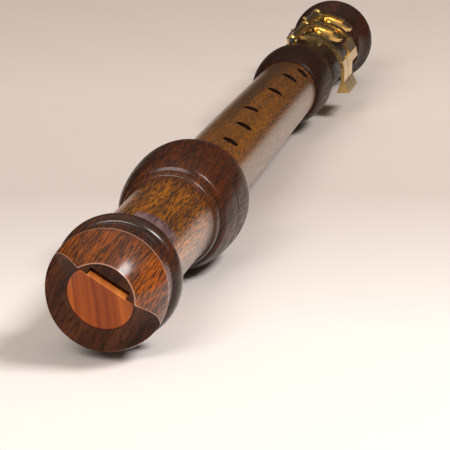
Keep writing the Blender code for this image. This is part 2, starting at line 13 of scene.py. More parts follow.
import bmesh
import bpy
import numpy as np
from mathutils import Matrix, Vector

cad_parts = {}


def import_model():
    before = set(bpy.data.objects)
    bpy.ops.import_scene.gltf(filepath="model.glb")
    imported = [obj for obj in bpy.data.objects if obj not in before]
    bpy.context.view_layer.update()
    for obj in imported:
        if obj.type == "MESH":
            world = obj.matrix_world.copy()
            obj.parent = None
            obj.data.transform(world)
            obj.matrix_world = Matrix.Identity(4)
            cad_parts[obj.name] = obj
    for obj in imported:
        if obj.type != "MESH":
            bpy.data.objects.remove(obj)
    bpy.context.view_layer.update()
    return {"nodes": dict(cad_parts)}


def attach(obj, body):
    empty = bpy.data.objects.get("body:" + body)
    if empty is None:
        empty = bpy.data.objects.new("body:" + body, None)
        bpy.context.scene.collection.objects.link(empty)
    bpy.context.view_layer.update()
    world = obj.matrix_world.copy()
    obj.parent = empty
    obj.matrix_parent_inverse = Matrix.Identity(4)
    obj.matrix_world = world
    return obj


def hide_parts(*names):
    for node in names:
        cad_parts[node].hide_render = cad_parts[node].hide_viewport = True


LOG = logging.getLogger("recorder")
MM = 0.001
Profile = list[tuple[float, float]]
Paint = bpy.types.NodeSocket | tuple[float, float, float]


class Region(Enum):
    """Places of the head joint that have a finish of their own."""

    POLISHED = 0
    BARE = 1
    PLANED = 2
    BORED = 3


@dataclass(frozen=True)
class Attitude:
    """How the instrument lies in the row frame."""

    roll: float = math.radians(32.0)
    slope: float = math.asin(4.1 / 448.75)
    shift: tuple[float, float, float] = (0.0, -0.320070, 0.026719)

    def matrix(self) -> Matrix:
        """Matrix from the instrument's frame to the row frame."""
        turn = Matrix.Rotation(-self.slope, 4, "X") @ Matrix.Rotation(self.roll, 4, "Y")
        return Matrix.Translation(self.shift) @ turn


ATTITUDE = Attitude()


@dataclass(frozen=True)
class BeakCut:
    """The hollow cut of the beak, as a depth behind the tip."""

    radius: float = 58.7 * MM
    centre_y: float = -40.9 * MM
    centre_z: float = -36 * MM
    side_start: float = 12.4 * MM
    side_slope: float = 1.2
    side_softness: float = 1 * MM
    side_fade: float = 20 * MM

    def depth(self, x: float, z: float) -> float:
        """Depth of the cut at a place of the cross-section.

        Args:
            x: Place across the instrument.
            z: Place towards the finger holes.

        Returns:
            Distance behind the tip, below zero where nothing is cut.
        """
        deep = self.centre_y + math.sqrt(max(self.radius ** 2 - (z - self.centre_z) ** 2, 0.0))
        outside = abs(x) - self.side_start
        side = (outside + math.hypot(outside, self.side_softness)) / 2
        fade = min(max((z + self.side_fade) / self.side_fade, 0.0), 1.0)
        return deep + self.side_slope * side * fade


BEAK_CUT = BeakCut()


# ---- shapes


def smooth_run(points: Profile, spacing: float = 0.8) -> Profile:
    """Draw a smooth line that never overshoots through the points of a profile.

    Args:
        points: Places and radii, in millimetres, along the bore.
        spacing: Distance between the drawn points.

    Returns:
        The drawn points, both ends included.
    """
    along = np.array([p[0] for p in points])
    radius = np.array([p[1] for p in points])
    step = np.diff(along)
    slope = np.diff(radius) / step
    tangent = np.zeros(len(points))
    tangent[0], tangent[-1] = slope[0], slope[-1]
    for index in range(1, len(points) - 1):
        before, after = slope[index - 1], slope[index]
        if before * after > 0:
            tangent[index] = 2 * before * after / (before + after)
    drawn = []
    for index, width in enumerate(step):
        count = max(2, int(round(width / spacing)))
        for share in np.arange(count) / count:
            a, b = 1 - share, share
            value = (radius[index] * (1 + 2 * share) * a * a + radius[index + 1] * (3 - 2 * share) * b * b
                     + width * (tangent[index] * share * a * a - tangent[index + 1] * a * b * b))
            drawn.append((float(along[index] + width * share), float(value)))
    return drawn + [(float(along[-1]), float(radius[-1]))]


def bead_run(start: tuple[float, float], peak: tuple[float, float], end: tuple[float, float],
             steps: int = 9) -> Profile:
    """Points of a rounded bead over its peak.

    Args:
        start: Place and radius where it rises.
        peak: Place and radius of its crest.
        end: Place and radius where it ends.
        steps: Points on each side.

    Returns:
        The drawn points, both ends included.
    """
    drawn = [start]
    for step in range(1, 2 * steps):
        angle = math.pi * step / (2 * steps)
        side = start if angle < math.pi / 2 else end
        along = peak[0] + (side[0] - peak[0]) * abs(math.cos(angle))
        drawn.append((along, side[1] + (peak[1] - side[1]) * math.sin(angle)))
    return drawn + [end]


def joined_runs(*runs: Profile) -> Profile:
    """Put runs end to end, and keep their places rising by a hair at least."""
    drawn: Profile = []
    for run in runs:
        for along, radius in run:
            if drawn and along <= drawn[-1][0] + 0.004:
                if abs(radius - drawn[-1][1]) < 0.01:
                    continue
                along = drawn[-1][0] + 0.01
            drawn.append((along, radius))
    return drawn


def turned_tree() -> bpy.types.NodeTree:
    """Build the tree that turns a line of radii into a closed round body.

    Returns:
        The node group, with the inputs Geometry, Sides and Finish.
    """
    tree = bpy.data.node_groups.new("turned body", "GeometryNodeTree")
    tree.interface.new_socket("Geometry", in_out="INPUT", socket_type="NodeSocketGeometry")
    sides = tree.interface.new_socket("Sides", in_out="INPUT", socket_type="NodeSocketInt")
    sides.default_value, sides.min_value = 192, 8
    tree.interface.new_socket("Finish", in_out="INPUT", socket_type="NodeSocketMaterial")
    tree.interface.new_socket("Geometry", in_out="OUTPUT", socket_type="NodeSocketGeometry")
    nodes, links = tree.nodes, tree.links
    given = nodes.new("NodeGroupInput")
    result = nodes.new("NodeGroupOutput")
    line = nodes.new("GeometryNodeMeshToCurve")
    radius = nodes.new("GeometryNodeInputNamedAttribute")
    radius.data_type = "FLOAT"
    radius.inputs["Name"].default_value = "ring_radius"
    thick = nodes.new("GeometryNodeSetCurveRadius")
    circle = nodes.new("GeometryNodeCurvePrimitiveCircle")
    circle.inputs["Radius"].default_value = 1.0
    sweep = nodes.new("GeometryNodeCurveToMesh")
    sweep.inputs["Fill Caps"].default_value = True
    real = nodes.new("GeometryNodeRealizeInstances")
    dress = nodes.new("GeometryNodeSetMaterial")
    links.new(given.outputs["Geometry"], line.inputs["Mesh"])
    links.new(line.outputs["Curve"], thick.inputs["Curve"])
    links.new(radius.outputs["Attribute"], thick.inputs["Radius"])
    links.new(given.outputs["Sides"], circle.inputs["Resolution"])
    links.new(thick.outputs["Curve"], sweep.inputs["Curve"])
    links.new(circle.outputs["Curve"], sweep.inputs["Profile Curve"])
    if "Scale" in sweep.inputs:
        links.new(radius.outputs["Attribute"], sweep.inputs["Scale"])
    links.new(sweep.outputs["Mesh"], real.inputs["Geometry"])
    links.new(real.outputs["Geometry"], dress.inputs["Geometry"])
    links.new(given.outputs["Finish"], dress.inputs["Material"])
    links.new(dress.outputs["Geometry"], result.inputs["Geometry"])
    return tree


def plain_mesh(item: bpy.types.Object) -> bpy.types.Object:
    """Turn what an object's modifiers make into its plain mesh."""
    graph = bpy.context.evaluated_depsgraph_get()
    mesh = bpy.data.meshes.new_from_object(item.evaluated_get(graph), preserve_all_data_layers=True,
                                           depsgraph=graph)
    item.modifiers.clear()
    item.data = mesh
    return item


def linked(name: str, mesh: bpy.types.Mesh) -> bpy.types.Object:
    """Make an object of a mesh and link it to the scene."""
    item = bpy.data.objects.new(name, mesh)
    bpy.context.scene.collection.objects.link(item)
    return item


def from_bmesh(name: str, shape: bmesh.types.BMesh) -> bpy.types.Object:
    """Make an object of a bmesh, with its faces turned outwards."""
    bmesh.ops.recalc_face_normals(shape, faces=shape.faces)
    mesh = bpy.data.meshes.new(name)
    shape.to_mesh(mesh)
    shape.free()
    return linked(name, mesh)


def turned(name: str, profile: Profile, tree: bpy.types.NodeTree, finish: bpy.types.Material | None,
           sides: int = 192) -> bpy.types.Object:
    """Turn a profile into a round body along the bore.

    Args:
        name: Name of the piece.
        profile: Places and radii in millimetres.
        tree: The turning node group.
        finish: Its material.
        sides: Steps around.

    Returns:
        The body as a plain closed mesh.
    """
    mesh = bpy.data.meshes.new(name)
    mesh.from_pydata([(0, along * MM, 0) for along, _ in profile],
                     [(index, index + 1) for index in range(len(profile) - 1)], [])
    radii = mesh.attributes.new("ring_radius", "FLOAT", "POINT")
    radii.data.foreach_set("value", [radius * MM for _, radius in profile])
    item = linked(name, mesh)
    step = item.modifiers.new("turning", "NODES")
    step.node_group = tree
    sockets = {s.name: s.identifier for s in tree.interface.items_tree if s.in_out == "INPUT"}
    step[sockets["Sides"]] = sides
    step[sockets["Finish"]] = finish
    plain_mesh(item)
    shape = bmesh.new()
    shape.from_mesh(item.data)
    bmesh.ops.remove_doubles(shape, verts=shape.verts, dist=1e-7)
    bmesh.ops.recalc_face_normals(shape, faces=shape.faces)
    shape.to_mesh(item.data)
    shape.free()
    return item


def prism(name: str, outline: Profile, start: float, end: float, across: bool = False) -> bpy.types.Object:
    """Draw an outline out into a straight body.

    Args:
        name: Name of the body.
        outline: Points in the x and z plane, or in the y and z plane.
        start: Where it begins along y, or along x.
        end: Where it ends.
        across: Draw along x instead of y.

    Returns:
        The closed body.
    """
    shape = bmesh.new()
    ends = []
    for place in (start, end):
        if across:
            ends.append([shape.verts.new((place, a, b)) for a, b in outline])
        else:
            ends.append([shape.verts.new((a, place, b)) for a, b in outline])
    count = len(outline)
    for step in range(count):
        after = (step + 1) % count
        shape.faces.new((ends[0][step], ends[0][after], ends[1][after], ends[1][step]))
    shape.faces.new(ends[0])
    shape.faces.new(ends[1])
    return from_bmesh(name, shape)


def between(name: str, low: list[list[Vector]], high: list[list[Vector]]) -> bpy.types.Object:
    """Close the space between two grids of points into a body.

    Args:
        name: Name of the body.
        low: Rows of points of the first side.
        high: Rows of points of the second side, of the same size.

    Returns:
        The closed body.
    """
    shape = bmesh.new()
    grids = [[[shape.verts.new(p) for p in row] for row in grid] for grid in (low, high)]
    rows, columns = len(low) - 1, len(low[0]) - 1
    for row in range(rows):
        for column in range(columns):
            for g in grids:
                shape.faces.new((g[row][column], g[row][column + 1], g[row + 1][column + 1],
                                 g[row + 1][column]))
    a, b = grids
    for row in range(rows):
        for column in (0, columns):
            shape.faces.new((a[row][column], a[row + 1][column], b[row + 1][column], b[row][column]))
    for column in range(columns):
        for row in (0, rows):
            shape.faces.new((a[row][column], a[row][column + 1], b[row][column + 1], b[row][column]))
    return from_bmesh(name, shape)


def bar(name: str, start: Vector, end: Vector, radius: float, sides: int = 48) -> bpy.types.Object:
    """Make a round bar between two points."""
    shape = bmesh.new()
    along = end - start
    bmesh.ops.create_cone(shape, cap_ends=True, segments=sides, radius1=radius, radius2=radius,
                          depth=along.length)
    turn = Vector((0, 0, 1)).rotation_difference(along).to_matrix().to_4x4()
    bmesh.ops.transform(shape, matrix=Matrix.Translation((start + end) / 2) @ turn, verts=shape.verts)
    return from_bmesh(name, shape)


def flat_bore(radius: float, flat: float, sides: int = 128) -> Profile:
    """Outline of a round bore whose top is cut off flat."""
    edge = math.asin(flat / radius)
    angles = [edge - (math.pi + 2 * edge) * step / sides for step in range(sides + 1)]
    return [(radius * math.cos(angle), radius * math.sin(angle)) for angle in angles]


def tooled(item: bpy.types.Object, tools: list[bpy.types.Object]) -> bpy.types.Object:
    """Cut tool bodies out of a piece, one after another, and remove them.

    Args:
        item: The piece.
        tools: The bodies that are cut away.

    Returns:
        The worked piece, as a plain mesh.
    """
    for tool in tools:
        step = item.modifiers.new(tool.name, "BOOLEAN")
        step.operation = "DIFFERENCE"
        step.solver = "EXACT"
        step.object = tool
    plain_mesh(item)
    for tool in tools:
        bpy.data.objects.remove(tool)
    return item


def shaded(item: bpy.types.Object, angle: float = 30.0) -> bpy.types.Object:
    """Shade a piece smooth, with its edges kept sharp above an angle in degrees."""
    item.data.shade_smooth()
    item.data.set_sharp_from_angle(angle=math.radians(angle))
    return item


def laid(item: bpy.types.Object) -> bpy.types.Object:
    """Move a piece's mesh from the instrument's frame to the row frame."""
    item.data.transform(ATTITUDE.matrix())
    item.data.update()
    return item


# ---- finishes


def grain_group() -> bpy.types.NodeTree:
    """Build the wood grain group: long pores and broad tone bands along the stick.

    Returns:
        The node group, with the outputs Pores, Tone and Fine.
    """
    tree = bpy.data.node_groups.new("wood grain", "ShaderNodeTree")
    tree.interface.new_socket("Vector", in_out="INPUT", socket_type="NodeSocketVector")
    for name, value in (("Pore Scale", 900.0), ("Stretch", 0.05), ("Band Scale", 120.0),
                        ("Pore Start", 0.55)):
        socket = tree.interface.new_socket(name, in_out="INPUT", socket_type="NodeSocketFloat")
        socket.default_value = value
    for name in ("Pores", "Tone", "Fine"):
        tree.interface.new_socket(name, in_out="OUTPUT", socket_type="NodeSocketFloat")
    nodes, links = tree.nodes, tree.links
    given, result = nodes.new("NodeGroupInput"), nodes.new("NodeGroupOutput")

    def stretched(share: float) -> bpy.types.NodeSocket:
        """Coordinate that is drawn long along the bore."""
        flat = nodes.new("ShaderNodeMath")
        flat.operation = "MULTIPLY"
        flat.inputs[1].default_value = share
        links.new(given.outputs["Stretch"], flat.inputs[0])
        scale = nodes.new("ShaderNodeCombineXYZ")
        scale.inputs["X"].default_value = scale.inputs["Z"].default_value = 1.0
        links.new(flat.outputs["Value"], scale.inputs["Y"])
        product = nodes.new("ShaderNodeVectorMath")
        product.operation = "MULTIPLY"
        links.new(given.outputs["Vector"], product.inputs[0])
        links.new(scale.outputs["Vector"], product.inputs[1])
        return product.outputs["Vector"]

    def noise(scale: str, factor: float, detail: float, share: float) -> bpy.types.NodeSocket:
        """Noise of the group's scale times a factor."""
        size = nodes.new("ShaderNodeMath")
        size.operation = "MULTIPLY"
        size.inputs[1].default_value = factor
        links.new(given.outputs[scale], size.inputs[0])
        made = nodes.new("ShaderNodeTexNoise")
        made.inputs["Detail"].default_value = detail
        made.inputs["Roughness"].default_value = 0.55
        links.new(stretched(share), made.inputs["Vector"])
        links.new(size.outputs["Value"], made.inputs["Scale"])
        return made.outputs["Fac"]

    def spread(value: bpy.types.NodeSocket, low: float | bpy.types.NodeSocket, high: float,
               name: str) -> None:
        """Spread a value between two limits and give it out."""
        level = nodes.new("ShaderNodeMapRange")
        level.interpolation_type = "SMOOTHSTEP"
        level.inputs["From Max"].default_value = high
        if isinstance(low, float):
            level.inputs["From Min"].default_value = low
        else:
            links.new(low, level.inputs["From Min"])
        links.new(value, level.inputs["Value"])
        links.new(level.outputs["Result"], result.inputs[name])

    spread(noise("Pore Scale", 1.0, 2.0, 1.0), given.outputs["Pore Start"], 0.58, "Pores")
    spread(noise("Band Scale", 1.0, 4.0, 0.6), 0.3, 0.7, "Tone")
    spread(noise("Pore Scale", 2.2, 1.0, 1.5), 0.3, 0.7, "Fine")
    return tree


def new_material(name: str) -> tuple[bpy.types.Material, bpy.types.Node]:
    """Make an empty material.

    Args:
        name: Its name.

    Returns:
        The material and its Principled shader.
    """
    made = bpy.data.materials.new(name)
    made.use_nodes = True
    return made, made.node_tree.nodes["Principled BSDF"]


def mixed(material: bpy.types.Material, factor: bpy.types.NodeSocket, first: Paint,
          second: Paint) -> bpy.types.NodeSocket:
    """Mix two colours in a material.

    Args:
        material: Where the mix stands.
        factor: Share of the second colour.
        first: A colour, or the socket of one.
        second: A colour, or the socket of one.

    Returns:
        The socket of the mixed colour.
    """
    node = material.node_tree.nodes.new("ShaderNodeMix")
    node.data_type = "RGBA"
    material.node_tree.links.new(factor, node.inputs[0])
    for socket, value in ((node.inputs[6], first), (node.inputs[7], second)):
        if isinstance(value, bpy.types.NodeSocket):
            material.node_tree.links.new(value, socket)
        else:
            socket.default_value = (*value, 1.0)
    return node.outputs[2]


def ranged(material: bpy.types.Material, value: bpy.types.NodeSocket, low: float, high: float,
           to_low: float, to_high: float) -> bpy.types.NodeSocket:
    """Map a value of a material from one range to another."""
    node = material.node_tree.nodes.new("ShaderNodeMapRange")
    for name, number in (("From Min", low), ("From Max", high), ("To Min", to_low), ("To Max", to_high)):
        node.inputs[name].default_value = number
    material.node_tree.links.new(value, node.inputs["Value"])
    return node.outputs["Result"]


def stick_place(material: bpy.types.Material, upright: float) -> bpy.types.NodeSocket:
    """Give a material the place in the instrument's own frame, in metres.

    Args:
        material: Where the nodes stand.
        upright: Share that is left of the height, so that a grain laid on it is drawn long upright.

    Returns:
        The place.
    """
    nodes, links = material.node_tree.nodes, material.node_tree.links
    back = nodes.new("ShaderNodeMapping")
    back.vector_type = "TEXTURE"
    back.inputs["Location"].default_value = ATTITUDE.shift
    back.inputs["Rotation"].default_value = ATTITUDE.matrix().to_euler()
    links.new(nodes.new("ShaderNodeTexCoord").outputs["Object"], back.inputs["Vector"])
    slab = nodes.new("ShaderNodeMapping")
    slab.inputs["Scale"].default_value = (1.0, 1.0, upright)
    links.new(back.outputs["Vector"], slab.inputs["Vector"])
    return slab.outputs["Vector"]


@dataclass(frozen=True)
class Rosewood:
    """Polished dark hardwood, whose tone changes along the stick."""

    name: str
    tones: tuple[tuple[float, tuple[float, float, float], float], ...]
    pore: tuple[float, float, float] = (0.012, 0.004, 0.002)
    pore_scale: float = 2400.0
    pore_start: float = 0.44
    pore_share: float = 0.85
    upright: float = 0.11
    roughness: float = 0.45
    # Lays a pale pink line of painted highlight along the edges of the beak's cut, the tip's rim and the ridge.
    edge: bool = False

    def material(self, grain: bpy.types.NodeTree) -> bpy.types.Material:
        """Build the material.

        Args:
            grain: The wood grain group.

        Returns:
            The material.
        """
        made, shader = new_material(self.name)
        nodes, links = made.node_tree.nodes, made.node_tree.links
        place = stick_place(made, self.upright)
        group = nodes.new("ShaderNodeGroup")
        group.node_tree = grain
        links.new(place, group.inputs["Vector"])
        group.inputs["Pore Scale"].default_value = self.pore_scale
        group.inputs["Pore Start"].default_value = self.pore_start
        split = nodes.new("ShaderNodeSeparateXYZ")
        links.new(place, split.inputs["Vector"])
        along = ranged(made, split.outputs["Y"], 0.0, 0.64, 0.0, 1.0)
        ramp = nodes.new("ShaderNodeValToRGB")
        links.new(along, ramp.inputs["Fac"])
        stops = ramp.color_ramp.elements
        while len(stops) < len(self.tones):
            stops.new(0.5)
        for stop, (place_mm, colour, gloss) in zip(stops, self.tones):
            stop.position = place_mm / 640.0
            stop.color = (*colour, gloss)
        dim = nodes.new("ShaderNodeVectorMath")
        dim.operation = "SCALE"
        links.new(ramp.outputs["Color"], dim.inputs[0])
        level = nodes.new("ShaderNodeMath")
        level.operation = "MULTIPLY"
        links.new(ranged(made, group.outputs["Tone"], 0.0, 1.0, 0.40, 1.45), level.inputs[0])
        links.new(ranged(made, group.outputs["Fine"], 0.0, 1.0, 0.60, 1.25), level.inputs[1])
        links.new(level.outputs["Value"], dim.inputs["Scale"])
        pores = ranged(made, group.outputs["Pores"], 0.0, 1.0, 0.0, self.pore_share)
        colour = mixed(made, pores, dim.outputs["Vector"], self.pore)
        if self.edge:
            # Painted highlight: a pale pink line on the points near the cut's edge, the tip's rim and the ridge,
            # standing in for the glint on those arrises.
            near = nodes.new("ShaderNodeAttribute")
            near.attribute_name = "edge_highlight_distance"
            line = ranged(made, near.outputs["Fac"], 0.15, 0.60, 0.75, 0.0)
            colour = mixed(made, line, colour, (0.60, 0.33, 0.24))
        links.new(colour, shader.inputs["Base Color"])
        links.new(ranged(made, group.outputs["Pores"], 0.0, 1.0, self.roughness, self.roughness + 0.2),
                  shader.inputs["Roughness"])
        links.new(ramp.outputs["Alpha"], shader.inputs["Coat Weight"])
        shader.inputs["Coat IOR"].default_value = 1.45
        shader.inputs["Coat Roughness"].default_value = 0.20
        shader.inputs["Specular IOR Level"].default_value = 0.15
        bump = nodes.new("ShaderNodeBump")
        bump.inputs["Strength"].default_value = 0.25
        bump.inputs["Distance"].default_value = 0.0002
        links.new(ranged(made, group.outputs["Pores"], 0.0, 1.0, 1.0, 0.0), bump.inputs["Height"])
        links.new(bump.outputs["Normal"], shader.inputs["Normal"])
        return made


@dataclass(frozen=True)
class BareWood:
    """Unpolished dark wood, as in the cut of the beak and in the bores."""

    name: str
    light: tuple[float, float, float] = (0.100, 0.032, 0.013)
    dark: tuple[float, float, float] = (0.020, 0.007, 0.004)
    roughness: float = 0.6

    def material(self, grain: bpy.types.NodeTree) -> bpy.types.Material:
        """Build the material from the wood grain group."""
        made, shader = new_material(self.name)
        nodes, links = made.node_tree.nodes, made.node_tree.links
        group = nodes.new("ShaderNodeGroup")
        group.node_tree = grain
        links.new(stick_place(made, 0.12), group.inputs["Vector"])
        group.inputs["Pore Scale"].default_value = 2000.0
        tone = mixed(made, group.outputs["Tone"], self.dark, self.light)
        colour = mixed(made, ranged(made, group.outputs["Pores"], 0.0, 1.0, 0.0, 0.7), tone,
                       (0.008, 0.004, 0.003))
        links.new(colour, shader.inputs["Base Color"])
        shader.inputs["Roughness"].default_value = self.roughness
        shader.inputs["Specular IOR Level"].default_value = 0.12
        return made


@dataclass(frozen=True)
class Cedar:
    """Bare orange-red cedar, with upright growth rings seen from the beak."""

    name: str
    light: tuple[float, float, float] = (0.50, 0.115, 0.008)
    dark: tuple[float, float, float] = (0.20, 0.030, 0.002)
    band_place: float = 0.002
    band_width: float = 0.006

    def material(self) -> bpy.types.Material:
        """Build the material."""
        made, shader = new_material(self.name)
        nodes, links = made.node_tree.nodes, made.node_tree.links
        place = nodes.new("ShaderNodeTexCoord").outputs["Object"]
        values = []
        for scale, size in (((1.0, 0.01, 0.006), 2300.0), ((1.0, 0.02, 0.02), 330.0)):
            long = nodes.new("ShaderNodeMapping")
            long.inputs["Scale"].default_value = scale
            links.new(place, long.inputs["Vector"])
            noise = nodes.new("ShaderNodeTexNoise")
            noise.inputs["Scale"].default_value = size
            noise.inputs["Detail"].default_value = 2.0
            links.new(long.outputs["Vector"], noise.inputs["Vector"])
            values.append(ranged(made, noise.outputs["Fac"], 0.35, 0.65, 0.0, 1.0))
        band = nodes.new("ShaderNodeVectorMath")
        band.operation = "DISTANCE"
        flat = nodes.new("ShaderNodeVectorMath")
        flat.operation = "MULTIPLY"
        flat.inputs[1].default_value = (1.0, 0.0, 0.0)
        links.new(place, flat.inputs[0])
        links.new(flat.outputs["Vector"], band.inputs[0])
        band.inputs[1].default_value = (self.band_place, 0.0, 0.0)
        away = ranged(made, band.outputs["Value"], 0.0, self.band_width, 0.15, 1.0)
        broad = mixed(made, mixed(made, away, (0.0, 0.0, 0.0), values[1]), self.dark, self.light)
        fine = ranged(made, values[0], 0.0, 1.0, 0.0, 0.35)
        links.new(mixed(made, fine, broad, self.dark), shader.inputs["Base Color"])
        shader.inputs["Roughness"].default_value = 0.5
        shader.inputs["Specular IOR Level"].default_value = 0.3
        return made


@dataclass(frozen=True)
class Metal:
    """Polished metal with fine wear in its gloss."""

    name: str
    colour: tuple[float, float, float]
    roughness: float

    def material(self) -> bpy.types.Material:
        """Build the material."""
        made, shader = new_material(self.name)
        nodes, links = made.node_tree.nodes, made.node_tree.links
        noise = nodes.new("ShaderNodeTexNoise")
        noise.inputs["Scale"].default_value = 400.0
        links.new(nodes.new("ShaderNodeTexCoord").outputs["Object"], noise.inputs["Vector"])
        shader.inputs["Base Color"].default_value = (*self.colour, 1.0)
        shader.inputs["Metallic"].default_value = 1.0
        links.new(ranged(made, noise.outputs["Fac"], 0.3, 0.7, self.roughness, self.roughness + 0.12),
                  shader.inputs["Roughness"])
        return made


@dataclass(frozen=True)
class Speckled:
    """Soft matt stuff with small specks, such as cork or pad leather."""

    name: str
    light: tuple[float, float, float]
    dark: tuple[float, float, float]
    scale: float

    def material(self) -> bpy.types.Material:
        """Build the material."""
        made, shader = new_material(self.name)
        nodes, links = made.node_tree.nodes, made.node_tree.links
        noise = nodes.new("ShaderNodeTexNoise")
        noise.inputs["Scale"].default_value = self.scale
        noise.inputs["Detail"].default_value = 3.0
        links.new(nodes.new("ShaderNodeTexCoord").outputs["Object"], noise.inputs["Vector"])
        speck = ranged(made, noise.outputs["Fac"], 0.5, 0.64, 0.0, 1.0)
        links.new(mixed(made, speck, self.light, self.dark), shader.inputs["Base Color"])
        shader.inputs["Roughness"].default_value = 0.8
        bump = nodes.new("ShaderNodeBump")
        bump.inputs["Strength"].default_value = 0.3
        bump.inputs["Distance"].default_value = 0.0002
        links.new(noise.outputs["Fac"], bump.inputs["Height"])
        links.new(bump.outputs["Normal"], shader.inputs["Normal"])
        return made


HEAD_TONES = (
    (0.0, (0.27, 0.062, 0.002), 0.9), (17.0, (0.27, 0.058, 0.002), 0.9), (21.0, (0.14, 0.028, 0.002), 0.8),
    (36.0, (0.055, 0.012, 0.001), 0.9), (47.0, (0.09, 0.021, 0.001), 0.9), (62.0, (0.38, 0.120, 0.001), 1.0),
    (125.0, (0.38, 0.112, 0.001), 1.0), (143.0, (0.12, 0.028, 0.001), 0.8), (156.0, (0.080, 0.016, 0.001), 0.35),
    (210.0, (0.070, 0.013, 0.001), 0.20),
)
MIDDLE_TONES = (
    (172.0, (0.20, 0.063, 0.003), 1.0), (212.0, (0.22, 0.070, 0.001), 1.0), (300.0, (0.25, 0.084, 0.001), 1.0),
    (500.0, (0.20, 0.060, 0.001), 1.0),
)
FOOT_TONES = ((466.0, (0.028, 0.006, 0.001), 0.12), (640.0, (0.05, 0.012, 0.003), 0.3))


@dataclass
class Finishes:
    """All finishes of the instrument."""

    made: dict[str, bpy.types.Material] = field(default_factory=dict)

    def build(self) -> "Finishes":
        """Build every material once."""
        grain = grain_group()
        woods = (Rosewood("head rosewood", HEAD_TONES, edge=True),
                 Rosewood("middle rosewood", MIDDLE_TONES, pore_share=0.55),
                 Rosewood("foot rosewood", FOOT_TONES), BareWood("bare rosewood"),
                 # The labium ramp: planed bare wood whose pale pink tone is a painted reflection of the light it
                 # faces.
                 BareWood("planed rosewood with painted reflection", light=(0.24, 0.15, 0.14), dark=(0.09, 0.045, 0.045)),
                 # The bores and holes: the same wood, made near black as painted shade inside them.
                 BareWood("bore rosewood with painted shade", light=(0.020, 0.008, 0.005), dark=(0.008, 0.003, 0.002)))
        for wood in woods:
            self.made[wood.name] = wood.material(grain)
        others = (Cedar("cedar face"),
                  # The chamfered lip: the same cedar made lighter, painted light where it faces up to the lamps
                  # while the face below stays in shade.
                  Cedar("cedar lip with painted light", light=(0.72, 0.24, 0.03), dark=(0.45, 0.11, 0.010)),
                  Metal("brass", (0.80, 0.55, 0.20), 0.16), Metal("blued steel", (0.16, 0.17, 0.22), 0.25),
                  Speckled("cork", (0.55, 0.36, 0.19), (0.22, 0.11, 0.05), 700.0),
                  Speckled("pad leather", (0.60, 0.47, 0.33), (0.42, 0.30, 0.19), 1500.0))
        for finish in others:
            self.made[finish.name] = finish.material()
        return self

    def __getitem__(self, name: str) -> bpy.types.Material:
        """Material of a name."""
        return self.made[name]


# ---- sub-assemblies


